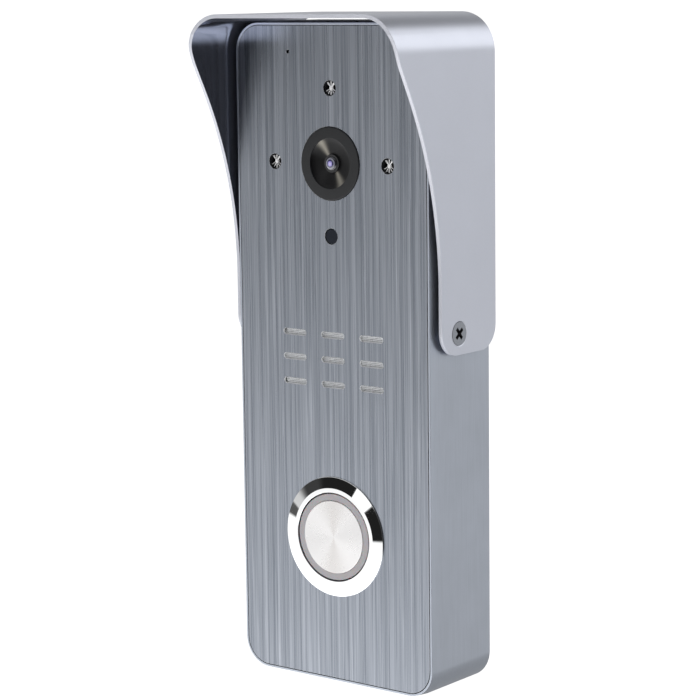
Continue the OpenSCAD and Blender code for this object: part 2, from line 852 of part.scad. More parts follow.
// Plastic cover that closes the back, with posts for the main board.
module back_cover() {
    color("#2a2b2e") difference() {
        union() {
            upright(cover_front, cover_back)
                round_rect(cavity_w - 2 * cover_gap, cavity_h - 2 * cover_gap, cavity_r - cover_gap);
            for (sx = [-1, 1])
                for (z = [main_top - standoff_end, main_bottom + standoff_end])
                    disc(standoff_r, main_back, cover_front + 0.2, sx * (main_w / 2 - standoff_in), z);
        }
        corners(boss_x, boss_z) disc(cover_screw_r + 0.3, cover_front - cut, cover_back + cut);
        disc(grommet_r, cover_front - cut, cover_back + cut, 0, grommet_z);
        for (side = [-1, 1])
            translate([side * hook_x, 0, hook_z])
                box(-hook_w / 2 - slot_gap, hook_w / 2 + slot_gap, cover_front - cut, cover_back + cut,
                    bracket_t - hook_lip, bracket_t + 0.1);
        flange_notch();
        cover_groove(cavity_w, cavity_h, cavity_r);
    }
}

// Notch in the cover's lower edge that the bracket's flange passes through.
module flange_notch() {
    box(-flange_w / 2 - slot_gap, flange_w / 2 + slot_gap, cover_front - cut, cover_back + cut,
        bottom_z, flange_z + bracket_t + slot_gap);
}

// Ring half-way through the cover's edge, w by h outside.
module cover_groove(w, h, r) {
    middle = (cover_front + cover_back) / 2;
    inside = 2 * cover_seal_in;
    difference() {
        upright(middle - cover_seal_w / 2, middle + cover_seal_w / 2) round_rect(w, h, r);
        upright(cover_front, cover_back)
            round_rect(cavity_w - inside, cavity_h - inside, cavity_r - cover_seal_in);
    }
}

// Rubber cord in the groove round the cover's edge.
module cover_seal() {
    color("#141415") difference() {
        cover_groove(cavity_w - 0.02, cavity_h - 0.02, cavity_r);
        flange_notch();
    }
}

// Rubber grommet that the cable comes in through.
module cable_grommet() {
    color("#19191b") difference() {
        union() {
            disc(grommet_r + grommet_flange, cover_front - 1.2 * grommet_lip, cover_front, 0, grommet_z);
            disc(grommet_r, cover_front, cover_back, 0, grommet_z);
            disc(grommet_r + grommet_flange, cover_back, cover_back + grommet_lip, 0, grommet_z);
        }
        disc(cable_r, cover_front - 2 * grommet_lip, cover_back + 2 * grommet_lip, 0, grommet_z);
    }
}

// Sheet bracket that stays on the wall: two hooks at the top and a flange at the bottom.
module wall_bracket() {
    color("#9da1a6") difference() {
        union() {
            box(-bracket_w / 2, bracket_w / 2, -bracket_t, 0, flange_z, bracket_top);
            for (side = [-1, 1])
                translate([side * hook_x - hook_w / 2, -hook_reach, hook_z]) {
                    cube([hook_w, hook_reach - bracket_t / 2, bracket_t]);
                    cube([hook_w, hook_t, hook_lip]);
                }
            box(-flange_w / 2, flange_w / 2, -flange_reach, 0, flange_z, flange_z + bracket_t);
        }
        for (end = [-1, 1])
            disc(wall_hole_r, -bracket_t - cut, cut, 0, end * wall_pitch / 2);
        disc(grommet_r + grommet_flange + 1, -bracket_t - cut, cut, 0, grommet_z);
        translate([0, lock_y, flange_z - cut]) cylinder(r = lock_r, h = bracket_t + 2 * cut);
    }
}

// Screw that locks the housing to the bracket from below.
module lock_screw() {
    color("#8d9197") translate([0, lock_y, bottom_z]) mirror([0, 0, 1]) difference() {
        union() {
            translate([0, 0, -lock_head_t]) cylinder(r = lock_head_r, h = lock_head_t);
            translate([0, 0, -wall_t - 3.4]) cylinder(r = lock_r - thread_gap, h = wall_t + 3);
        }
        cross_slot(3, 0.7, 0.7);
    }
}

// Nut on one of the plate's studs.
module plate_nut(sx, sz) {
    color("#b5b8bc") translate([sx * stud_x, lug_back, sz * stud_z]) rotate([-90, 0, 0]) difference() {
        cylinder(r = nut_r, h = nut_t, $fn = 6);
        translate([0, 0, -cut]) cylinder(r = stud_r + thread_gap, h = nut_t + 2 * cut);
    }
}
module plate_nut_tl() { plate_nut(-1, 1); }
module plate_nut_tr() { plate_nut(1, 1); }
module plate_nut_bl() { plate_nut(-1, -1); }
module plate_nut_br() { plate_nut(1, -1); }

// Pan-head screw that holds one corner of the back cover.
module cover_screw(sx, sz) {
    color("#8d9197") translate([sx * boss_x, cover_back, sz * boss_z]) rotate([-90, 0, 0]) difference() {
        union() {
            cylinder(r = cover_head_r, h = cover_head_t);
            translate([0, 0, -cover_t - 6]) cylinder(r = cover_screw_r, h = cover_t + 6.2);
        }
        translate([0, 0, cover_head_t]) cross_slot(2.4, 0.55, 0.7);
    }
}
module cover_screw_tl() { cover_screw(-1, 1); }
module cover_screw_tr() { cover_screw(1, 1); }
module cover_screw_bl() { cover_screw(-1, -1); }
module cover_screw_br() { cover_screw(1, -1); }

housing();
front_plate();
plate_gasket();
rain_hood();
hood_screw_left();
hood_screw_right();
camera_bezel();
camera_lens();
lens_barrel();
camera_module();
camera_board();
light_carrier();
light_board();
lamp_top();
lamp_left();
lamp_right();
reflector_top();
reflector_left();
reflector_right();
sensor_window();
sensor_cell();
speaker_mesh();
speaker_gasket();
speaker_frame();
speaker_cone();
speaker_magnet();
mic_boot();
mic_capsule();
button_bezel();
button_seal();
button_nut();
button_cap();
button_plunger();
button_spring();
button_switch();
button_terminals();
main_board();
processor();
capacitor();
terminal_block();
back_cover();
cover_seal();
cable_grommet();
wall_bracket();
lock_screw();
plate_nut_tl();
plate_nut_tr();
plate_nut_bl();
plate_nut_br();
cover_screw_tl();
cover_screw_tr();
cover_screw_bl();
cover_screw_br();
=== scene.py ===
import json
import math

import bmesh
import bpy
from mathutils import Matrix, Vector


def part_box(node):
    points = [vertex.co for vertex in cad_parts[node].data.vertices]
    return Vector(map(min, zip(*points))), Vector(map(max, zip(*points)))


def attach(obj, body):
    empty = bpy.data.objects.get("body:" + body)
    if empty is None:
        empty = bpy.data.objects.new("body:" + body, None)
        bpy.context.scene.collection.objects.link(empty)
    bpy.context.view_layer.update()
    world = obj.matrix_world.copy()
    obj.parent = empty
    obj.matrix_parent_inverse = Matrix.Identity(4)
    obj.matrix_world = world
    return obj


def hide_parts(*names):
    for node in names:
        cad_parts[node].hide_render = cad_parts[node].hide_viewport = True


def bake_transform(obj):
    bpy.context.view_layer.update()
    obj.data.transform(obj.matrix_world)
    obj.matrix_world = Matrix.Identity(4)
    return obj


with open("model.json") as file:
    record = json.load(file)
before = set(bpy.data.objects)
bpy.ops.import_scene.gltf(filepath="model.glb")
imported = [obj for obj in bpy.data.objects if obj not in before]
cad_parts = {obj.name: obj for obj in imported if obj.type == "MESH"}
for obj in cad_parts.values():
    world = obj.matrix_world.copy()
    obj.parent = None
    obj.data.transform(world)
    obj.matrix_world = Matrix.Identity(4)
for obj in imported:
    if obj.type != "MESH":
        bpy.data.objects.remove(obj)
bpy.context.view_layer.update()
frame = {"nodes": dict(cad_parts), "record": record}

# Housing.
# A cast aluminium shell, brushed along its height and anodised a satin grey. Its edges are broken
# with a fine file, and everything else is screwed or clipped into it.
MM = 0.001
body_of = {node: body for body, nodes in frame["record"]["behaviour"]["bodies"].items()
           for node in nodes}


def add(tree, kind, **values):
    """Adds a shader node: small-letter words are its settings, capital ones its inputs."""
    made = tree.nodes.new(kind)
    for key, value in values.items():
        if key[0].islower():
            setattr(made, key, value)
        else:
            made.inputs[key.replace("_", " ")].default_value = value
    return made


def new_group(name, inputs, outputs):
    """An empty node group with the given inputs {name: (kind, default)} and outputs {name: kind}."""
    tree = bpy.data.node_groups.new(name, "ShaderNodeTree")
    for label, (kind, default) in inputs.items():
        socket = tree.interface.new_socket(label, in_out="INPUT", socket_type=kind)
        socket.default_value = default
    for label, kind in outputs.items():
        tree.interface.new_socket(label, in_out="OUTPUT", socket_type=kind)
    return tree, tree.nodes.new("NodeGroupInput").outputs, tree.nodes.new("NodeGroupOutput").inputs


def math_node(tree, operation, a, b):
    """A Math node on two sockets or numbers; returns its output."""
    made = tree.nodes.new("ShaderNodeMath")
    made.operation = operation
    for place, source in enumerate((a, b)):
        if isinstance(source, (int, float)):
            made.inputs[place].default_value = source
        else:
            tree.links.new(source, made.inputs[place])
    return made.outputs["Value"]


def noise(tree, vector, scale, detail=3.0):
    """Noise from 0 to 1 about a mean of a half, on a vector already scaled to the surface."""
    made = add(tree, "ShaderNodeTexNoise", Scale=scale, Detail=detail, Roughness=0.6)
    tree.links.new(vector, made.inputs["Vector"])
    return made.outputs["Fac"]


def build_surface():
    """Group for any finished surface: a fine grain, soft cloudy unevenness, and a rub of handling."""
    tree, given, result = new_group(
        "surface",
        {
            "Color": ("NodeSocketColor", (0.5, 0.5, 0.5, 1.0)),
            "Variation": ("NodeSocketFloat", 0.1),
            "Roughness": ("NodeSocketFloat", 0.4),
            "Spread": ("NodeSocketFloat", 0.1),
            "Grain": ("NodeSocketFloat", 1500.0),
            "Depth": ("NodeSocketFloat", 0.00001),
            "Stretch": ("NodeSocketVector", (1.0, 1.0, 1.0)),
        },
        {"Color": "NodeSocketColor", "Roughness": "NodeSocketFloat", "Normal": "NodeSocketVector"},
    )
    place = tree.nodes.new("ShaderNodeTexCoord").outputs["Object"]
    drawn = add(tree, "ShaderNodeVectorMath", operation="MULTIPLY")
    tree.links.new(place, drawn.inputs[0])
    tree.links.new(given["Stretch"], drawn.inputs[1])
    grain = add(tree, "ShaderNodeTexNoise", Detail=4.0, Roughness=0.65)
    tree.links.new(drawn.outputs["Vector"], grain.inputs["Vector"])
    tree.links.new(given["Grain"], grain.inputs["Scale"])
    cloud = noise(tree, place, 60.0)
    rub = noise(tree, place, 260.0, 5.0)
    both = math_node(tree, "ADD", grain.outputs["Fac"], cloud)
    swing = math_node(tree, "SUBTRACT", both, 1.0)
    gain = math_node(tree, "MULTIPLY_ADD", swing, given["Variation"])
    gain.node.inputs[2].default_value = 1.0
    tint = add(tree, "ShaderNodeVectorMath", operation="SCALE")
    tree.links.new(given["Color"], tint.inputs[0])
    tree.links.new(gain, tint.inputs["Scale"])
    tree.links.new(tint.outputs["Vector"], result["Color"])
    uneven = math_node(tree, "SUBTRACT", math_node(tree, "ADD", rub, grain.outputs["Fac"]), 1.0)
    rough = math_node(tree, "MULTIPLY", uneven, given["Spread"])
    tree.links.new(math_node(tree, "ADD", rough, given["Roughness"]), result["Roughness"])
    bump = add(tree, "ShaderNodeBump", Strength=1.0)
    tree.links.new(grain.outputs["Fac"], bump.inputs["Height"])
    tree.links.new(given["Depth"], bump.inputs["Distance"])
    tree.links.new(bump.outputs["Normal"], result["Normal"])
    return tree


surface = build_surface()


def finish(name, color, metallic, roughness, variation=0.1, spread=0.1, grain=1500.0, depth=5e-6,
           stretch=(1, 1, 1), **plain):
    """A material with its own values of the surface group; plain ones go straight on the shader."""
    material = bpy.data.materials.new(name)
    material.use_nodes = True
    tree = material.node_tree
    shader = tree.nodes["Principled BSDF"]
    shader.inputs["Metallic"].default_value = metallic
    for key, value in plain.items():
        shader.inputs[key.replace("_", " ")].default_value = value
    look = add(tree, "ShaderNodeGroup", node_tree=surface, Color=(*color, 1.0), Variation=variation,
               Roughness=roughness, Spread=spread, Grain=grain, Depth=depth, Stretch=stretch)
    tree.links.new(look.outputs["Color"], shader.inputs["Base Color"])
    tree.links.new(look.outputs["Roughness"], shader.inputs["Roughness"])
    tree.links.new(look.outputs["Normal"], shader.inputs["Normal"])
    return material


def shape_of(node):
    """The mesh of a CAD node with its triangles joined into whole faces, ready to be worked on."""
    bm = bmesh.new()
    bm.from_mesh(frame["nodes"][node].data)
    bmesh.ops.remove_doubles(bm, verts=bm.verts, dist=1e-6)
    bmesh.ops.dissolve_limit(bm, angle_limit=math.radians(0.3), verts=bm.verts, edges=bm.edges)
    return bm


def soft_edges(bm, width, steps=2, corner=35):
    """Rounds every edge that turns by more than corner degrees."""
    sharp = [e for e in bm.edges if e.is_manifold and e.calc_face_angle() > math.radians(corner)]
    bmesh.ops.bevel(bm, geom=sharp, offset=width, offset_type="OFFSET", affect="EDGES", segments=steps,
                    profile=0.5, material=-1, clamp_overlap=True)


def piece(name, bm, materials, *nodes, between=None, smooth=40):
    """Makes a finished piece that stands for the named CAD nodes. It moves with their body, or, given
    between, stays where it is, tied to no body. An edge that turns by more than smooth degrees stays sharp."""
    mesh = bpy.data.meshes.new(name)
    bm.to_mesh(mesh)
    bm.free()
    if "custom_normal" in mesh.attributes:
        mesh.attributes.remove(mesh.attributes["custom_normal"])
    for material in materials:
        mesh.materials.append(material)
    mesh.shade_smooth()
    mesh.set_sharp_from_angle(angle=math.radians(smooth))
    obj = bpy.data.objects.new(name, mesh)
    bpy.context.scene.collection.objects.link(obj)
    even = obj.modifiers.new("even_light", "WEIGHTED_NORMAL")
    even.keep_sharp = True
    if between:
        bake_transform(obj)
    else:
        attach(obj, body_of[nodes[0]])
    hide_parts(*nodes)
    return obj


def eased(node, material, width, steps=2, second=None, where=None):
    """A CAD node with its edges broken by width. The second finish goes on the faces picked by where."""
    bm = shape_of(node)
    soft_edges(bm, width, steps)
    for face in bm.faces:
        face.material_index = int(where(face)) if where else 0
    return piece(node + "_piece", bm, [material] + ([second] if second else []), node)


housing_alloy = finish("housing_alloy", (0.45, 0.485, 0.55), 0.88, 0.36, variation=0.22, spread=0.12,
                       grain=2600.0, depth=2e-6, stretch=(1.0, 1.0, 0.03))
eased("housing", housing_alloy, 0.12 * MM, 3)

# Front plate and its gasket.
# A steel plate brushed up and down in long hairlines, with its punched holes deburred by hand; their
# broken edges are painted near-white as a painted highlight. Four welded studs pull it down on a
# die-cut ring of black closed-cell foam.
LINES = 4200.0  # hairlines in a metre of width
STREAKS = 1000.0  # broader streaks in a metre of width


def build_brushing():
    """Group for brushed metal: hairlines and longer streaks that run along Z."""
    tree, given, result = new_group(
        "brushing",
        {
            "Dark": ("NodeSocketColor", (0.3, 0.3, 0.3, 1.0)),
            "Light": ("NodeSocketColor", (0.7, 0.7, 0.7, 1.0)),
            "Roughness": ("NodeSocketFloat", 0.3),
            "Depth": ("NodeSocketFloat", 0.00001),
        },
        {"Color": "NodeSocketColor", "Roughness": "NodeSocketFloat", "Normal": "NodeSocketVector"},
    )
    place = tree.nodes.new("ShaderNodeTexCoord").outputs["Object"]

    def along(lines, length):
        """Noise with so many lines a metre across and so many a metre along."""
        drawn = add(tree, "ShaderNodeVectorMath", operation="MULTIPLY")
        drawn.inputs[1].default_value = (lines, lines * 0.2, length)
        tree.links.new(place, drawn.inputs[0])
        return noise(tree, drawn.outputs["Vector"], 1.0, 2.0)

    hair = along(LINES, 26.0)
    streak = along(STREAKS, 7.0)
    scratch = add(tree, "ShaderNodeMapRange", From_Min=0.60, From_Max=0.74)
    tree.links.new(along(LINES * 0.55, 40.0), scratch.inputs["Value"])
    mix = math_node(tree, "ADD", math_node(tree, "MULTIPLY", hair, 0.55),
                    math_node(tree, "MULTIPLY", streak, 0.45))
    spread = add(tree, "ShaderNodeMapRange", From_Min=0.40, From_Max=0.62)
    tree.links.new(mix, spread.inputs["Value"])
    level = math_node(tree, "ADD", spread.outputs["Result"],
                      math_node(tree, "MULTIPLY", scratch.outputs["Result"], 0.55))
    # A Mix node takes its two colours at sockets 6 and 7, and gives the mixed one at output 2.
    shade = add(tree, "ShaderNodeMix", data_type="RGBA", clamp_factor=False)
    tree.links.new(level, shade.inputs[0])
    tree.links.new(given["Dark"], shade.inputs[6])
    tree.links.new(given["Light"], shade.inputs[7])
    tree.links.new(shade.outputs[2], result["Color"])
    rough = math_node(tree, "MULTIPLY", math_node(tree, "SUBTRACT", hair, 0.5), 0.25)
    tree.links.new(math_node(tree, "ADD", rough, given["Roughness"]), result["Roughness"])
    bump = add(tree, "ShaderNodeBump", Strength=1.0)
    tree.links.new(mix, bump.inputs["Height"])
    tree.links.new(given["Depth"], bump.inputs["Distance"])
    tree.links.new(bump.outputs["Normal"], result["Normal"])
    return tree


brushing = build_brushing()


def brushed(name, dark, light, roughness, depth):
    """A metal brushed along Z, whose lines spread the light along X."""
    material = bpy.data.materials.new(name)
    material.use_nodes = True
    tree = material.node_tree
    shader = tree.nodes["Principled BSDF"]
    shader.inputs["Metallic"].default_value = 1.0
    shader.inputs["Anisotropic"].default_value = 0.6
    look = add(tree, "ShaderNodeGroup", node_tree=brushing, Dark=(*dark, 1.0), Light=(*light, 1.0),
               Roughness=roughness, Depth=depth)
    tree.links.new(look.outputs["Color"], shader.inputs["Base Color"])
    tree.links.new(look.outputs["Roughness"], shader.inputs["Roughness"])
    tree.links.new(look.outputs["Normal"], shader.inputs["Normal"])
    across = add(tree, "ShaderNodeCombineXYZ", X=1.0)
    tree.links.new(across.outputs["Vector"], shader.inputs["Tangent"])
    return material


plate_steel = brushed("plate_steel", (0.205, 0.225, 0.26), (0.39, 0.415, 0.465), 0.30, 1.5e-6)
# Near-white for the plate's broken edges and slot walls: a painted highlight on the bare steel.
edge_painted_highlight = finish("edge_painted_highlight", (0.93, 0.94, 0.95), 0.35, 0.35, variation=0.15, grain=2500.0, depth=2e-6)
plate_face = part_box("front_plate")[0].y
plate_ease = 0.18 * MM
mesh_low, mesh_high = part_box("speaker_mesh")
FLAT = 0.98  # least lean of a face's normal that still counts as straight ahead
ASIDE = 0.3  # most lean of the normal of a face that stands along the axis


def punched(face):
    """True for the broken front edges of the plate and the walls of its sound slots."""
    at = face.calc_center_median()
    eased_edge = at.y < plate_face + plate_ease and face.normal.y > -FLAT
    wall = abs(face.normal.y) < ASIDE and at.y < mesh_low.y + 0.05 * MM
    return eased_edge or (wall and mesh_low.x < at.x < mesh_high.x and mesh_low.z < at.z < mesh_high.z)


eased("front_plate", plate_steel, plate_ease, 2, second=edge_painted_highlight, where=punched)
black_foam = finish("black_foam", (0.02, 0.02, 0.022), 0.0, 0.9, variation=0.5, grain=3500.0, depth=6e-5)
eased("plate_gasket", black_foam, 0.05 * MM)

# Rain hood and its screws.
# One blank of aluminium sheet, cut to its swept outline and bent twice over a round bar, then satin
# finished. A countersunk cross-head screw holds each of its two tabs to the housing.
SHEET = 0.8 * MM
hood_sheet = finish("hood_sheet", (0.64, 0.665, 0.745), 0.90, 0.34, variation=0.06, spread=0.10,
                    grain=3200.0, depth=1.5e-6, stretch=(1.0, 0.5, 1.0))
# A darker, glossier copy of the sheet's finish for its inner faces: the darker colour is painted shade under
# the hood.
hood_inside_shaded = finish("hood_inside_shaded", (0.44, 0.46, 0.55), 0.95, 0.13, variation=0.10, spread=0.06,
                     grain=2800.0, depth=1.5e-6, stretch=(1.0, 0.5, 1.0))
cut_edge = finish("cut_edge", (0.66, 0.675, 0.74), 0.25, 0.5, variation=0.12, grain=2200.0, depth=4e-6)
hood_low, hood_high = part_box("rain_hood")


def inside_hood(face):
    """True for the faces of the sheet that look in at the housing."""
    at = face.calc_center_median()
    deep = min(hood_high.x - abs(at.x), hood_high.z - at.z) > 0.8 * SHEET
    inward = face.normal.x * (1 if at.x < 0 else -1) > ASIDE or face.normal.z < -ASIDE
    return deep and inward and abs(face.normal.y) < ASIDE and at.z > hood_low.z + 1 * MM


hood = eased("rain_hood", hood_sheet, 0.12 * MM, 3, second=hood_inside_shaded, where=inside_hood)
hood.data.materials.append(cut_edge)
for face in hood.data.polygons:
    if face.normal.y < -0.35:
        face.material_index = len(hood.data.materials) - 1
screw_steel = finish("screw_steel", (0.36, 0.38, 0.42), 1.0, 0.24, variation=0.12, grain=2200.0, depth=3e-6)
# Near-black for the screws' cross recesses: painted shade where the recess is deep.
recess_painted_shade = finish("recess_painted_shade", (0.03, 0.03, 0.035), 0.2, 0.6, variation=0.5, grain=3000.0, depth=8e-6)


def cross_screw(node, width, axis, side, reach, depth):
    """A screw whose cross recess is painted dark as painted shade. Its head faces to side, 1 or -1, of axis.
    """
    low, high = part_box(node)
    head = (high if side > 0 else low)[axis]
    centre = (low + high) / 2

    def in_recess(face):
        at = face.calc_center_median()
        out = Vector(a - b for k, (a, b) in enumerate(zip(at, centre)) if k != axis).length
        sunk = (head - at[axis]) * side
        return out < reach and 0.12 * MM < sunk < depth

    eased(node, screw_steel, width, second=recess_painted_shade, where=in_recess)


for hand, side in (("left", -1), ("right", 1)):
    cross_screw("hood_screw_" + hand, 0.06 * MM, axis=0, side=side, reach=1.45 * MM, depth=1.3 * MM)

# Camera.
# A moulded black bezel with a spun-smooth dish, pushed through the plate from behind; two opposite
# fans of painted highlight are coloured into the dish. The glass sits in the nose of a metal barrel,
# which screws into the square block over the image sensor.


def middle(node):
    """The middle of a CAD node's box."""
    low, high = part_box(node)
    return (low + high) / 2


def turned(outline, centre, steps=96, closed=False):
    """Spins an outline of (radius, y) points round an axis along Y through the centre."""
    bm = bmesh.new()
    row = [bm.verts.new((centre.x + r, y, centre.z)) for r, y in outline]
    pairs = list(zip(row, row[1:])) + ([(row[-1], row[0])] if closed else [])
    edges = [bm.edges.new(pair) for pair in pairs]
    bmesh.ops.spin(bm, geom=row + edges, cent=centre, axis=(0, 1, 0), angle=math.tau, steps=steps,
                   use_merge=True)
    bmesh.ops.remove_doubles(bm, verts=bm.verts, dist=1e-7)
    bmesh.ops.recalc_face_normals(bm, faces=bm.faces)
    return bm


bezel_low, bezel_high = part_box("camera_bezel")
eye = middle("camera_bezel")
bezel_r = (bezel_high.x - bezel_low.x) / 2
ring_r = 7.4 * MM
dish_r = 5.1 * MM
nose_r = 1.95 * MM
bezel_face = bezel_low.y
plate_back = plate_face + 1.5 * MM
DISH_STEPS = 6
dish_curve = [(dish_r + (nose_r - dish_r) * t, bezel_face + (0.3 + 0.7 * t ** 0.55) * MM)
              for t in [k / DISH_STEPS for k in range(DISH_STEPS + 1)]]
bezel_outline = ([(nose_r, bezel_high.y)] + list(reversed(dish_curve)) +
                 [(dish_r, bezel_face + 0.02 * MM), (dish_r + 0.05 * MM, bezel_face),
                  (ring_r - 0.22 * MM, bezel_face), (ring_r - 0.06 * MM, bezel_face + 0.05 * MM),
                  (ring_r, bezel_face + 0.2 * MM), (ring_r, plate_back), (bezel_r, plate_back),
                  (bezel_r, bezel_high.y)])
bezel_plastic = finish("bezel_plastic", (0.016, 0.017, 0.019), 0.0, 0.36, variation=0.3, spread=0.1,
                       grain=2500.0, depth=1.5e-6, Specular_IOR_Level=0.38)


def spun(name, color, metallic, roughness, centre, **plain):
    """A lathe-turned finish: its fine rings about an axis along Y draw the light out from the middle."""
    material = finish(name, color, metallic, roughness, variation=0.06, spread=0.05, grain=1500.0,
                      depth=2e-7, **plain)
    tree = material.node_tree
    place = add(tree, "ShaderNodeMapping", Location=[-c for c in centre])
    tree.links.new(tree.nodes.new("ShaderNodeTexCoord").outputs["Object"], place.inputs["Vector"])
    outward = add(tree, "ShaderNodeVectorMath", operation="MULTIPLY")
    outward.inputs[1].default_value = (1.0, 0.0, 1.0)
    tree.links.new(place.outputs["Vector"], outward.inputs[0])
    tree.links.new(outward.outputs["Vector"], tree.nodes["Principled BSDF"].inputs["Tangent"])
    return material


dish_black = spun("dish_black", (0.02, 0.02, 0.02), 0.3, 0.30, eye, Anisotropic=0.9, Specular_IOR_Level=0.3)


def paint_reflection_fans(material, lean, narrow, plain, painted_fan_colour):
    """Paints two opposite fans, lean degrees from upright, into a spun finish's colour by the way round:
    a painted highlight where the fan colour is the lighter, painted shade where it is the darker. A higher
    narrow makes them narrower."""
    tree = material.node_tree
    outward = next(n for n in tree.nodes if n.type == "VECT_MATH")
    unit = add(tree, "ShaderNodeVectorMath", operation="NORMALIZE")
    tree.links.new(outward.outputs["Vector"], unit.inputs[0])
    along = add(tree, "ShaderNodeVectorMath", operation="DOT_PRODUCT")
    along.inputs[1].default_value = (math.sin(math.radians(lean)), 0.0, math.cos(math.radians(lean)))
    tree.links.new(unit.outputs["Vector"], along.inputs[0])
    fan_mask = math_node(tree, "POWER", math_node(tree, "ABSOLUTE", along.outputs["Value"], 0.0), narrow)
    shade = add(tree, "ShaderNodeMix", data_type="RGBA")
    tree.links.new(fan_mask, shade.inputs[0])
    shade.inputs[6].default_value = (*plain, 1.0)
    shade.inputs[7].default_value = (*painted_fan_colour, 1.0)
    look = next(n for n in tree.nodes if n.type == "GROUP")
    tree.links.new(shade.outputs[2], look.inputs["Color"])


# Two opposite fans of painted highlight in the camera's dish, light on near-black.
paint_reflection_fans(dish_black, -31, 60.0, (0.007, 0.007, 0.008), (0.27, 0.255, 0.22))
bezel = turned(bezel_outline, eye, 128, closed=True)
for face in bezel.faces:
    at = face.calc_center_median()
    out = math.hypot(at.x - eye.x, at.z - eye.z)
    face.material_index = int(nose_r < out < dish_r and at.y > bezel_face + 0.25 * MM)
piece("camera_bezel_piece", bezel, [bezel_plastic, dish_black], "camera_bezel")

lens_low, lens_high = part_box("camera_lens")
glass_r = (lens_high.x - lens_low.x) / 2
dome_h = lens_high.y - lens_low.y


def quarter(steps):
    """Angles from nothing to a right angle in equal steps."""
    return [math.pi / 2 * k / steps for k in range(steps + 1)]


glass_outline = [(glass_r * math.sin(a), lens_high.y - dome_h * math.cos(a)) for a in quarter(12)]
glass_outline.append((0.0, lens_high.y))


def glass_with_painted_reflection(name, centre, reach):
    """Glass over the parts behind it, coloured in rings by distance from the middle: a painted violet
    reflection of its coating in the middle, then dark, then a pale ring of painted reflection.
    """
    material = finish(name, (0.5, 0.5, 0.5), 0.0, 0.08, variation=0.4, spread=0.03, grain=900.0, depth=5e-7,
                      Coat_Weight=0.6, Coat_Roughness=0.02)
    tree = material.node_tree
    place = add(tree, "ShaderNodeMapping", Location=[-c for c in centre])
    tree.links.new(tree.nodes.new("ShaderNodeTexCoord").outputs["Object"], place.inputs["Vector"])
    flat = add(tree, "ShaderNodeVectorMath", operation="MULTIPLY")
    flat.inputs[1].default_value = (1 / reach, 0.0, 1 / reach)
    tree.links.new(place.outputs["Vector"], flat.inputs[0])
    far = add(tree, "ShaderNodeVectorMath", operation="LENGTH")
    tree.links.new(flat.outputs["Vector"], far.inputs[0])
    reflection_rings = tree.nodes.new("ShaderNodeValToRGB")
    tree.links.new(far.outputs["Value"], reflection_rings.inputs["Fac"])
    # Painted reflections: a violet one of the coating in the middle, and a pale ring further out.
    stops = [(0.0, (0.80, 0.76, 1.0)), (0.30, (0.42, 0.36, 0.85)), (0.42, (0.05, 0.05, 0.16)),
             (0.56, (0.03, 0.03, 0.07)), (0.64, (0.30, 0.31, 0.38)), (0.74, (0.22, 0.22, 0.28)),
             (0.82, (0.02, 0.02, 0.03)), (1.0, (0.015, 0.015, 0.02))]
    while len(reflection_rings.color_ramp.elements) < len(stops):
        reflection_rings.color_ramp.elements.new(0.5)
    for stop, (where, color) in zip(reflection_rings.color_ramp.elements, stops):
        stop.position = where
        stop.color = (*color, 1.0)
    look = next(n for n in tree.nodes if n.type == "GROUP")
    tree.links.new(reflection_rings.outputs["Color"], look.inputs["Color"])
    return material


lens_glass = glass_with_painted_reflection("lens_glass", eye, glass_r)
piece("camera_lens_piece", turned(glass_outline, eye, 48), [lens_glass], "camera_lens")
black_plastic = finish("black_plastic", (0.02, 0.02, 0.022), 0.0, 0.45, variation=0.3, grain=2600.0,
                       depth=6e-6)
eased("lens_barrel", black_plastic, 0.05 * MM)
eased("camera_module", black_plastic, 0.3 * MM)

# Lamps and their spoked cups.
# Each infrared lamp stands in a black cup. Eight plated ribs run in from the cup's rim to a small hub
# and scatter the light; their brightness is a painted reflection, a near-white colour in place of the
# plating's shine. The dark wall of the cup shows between them.
# The angle of each rib from upright in degrees, and about its width in mm.
RIBS = {0: 0.24, 36: 0.32, -36: 0.32, 117: 0.13, -117: 0.13, 147: 0.15, -147: 0.15, 180: 0.28}
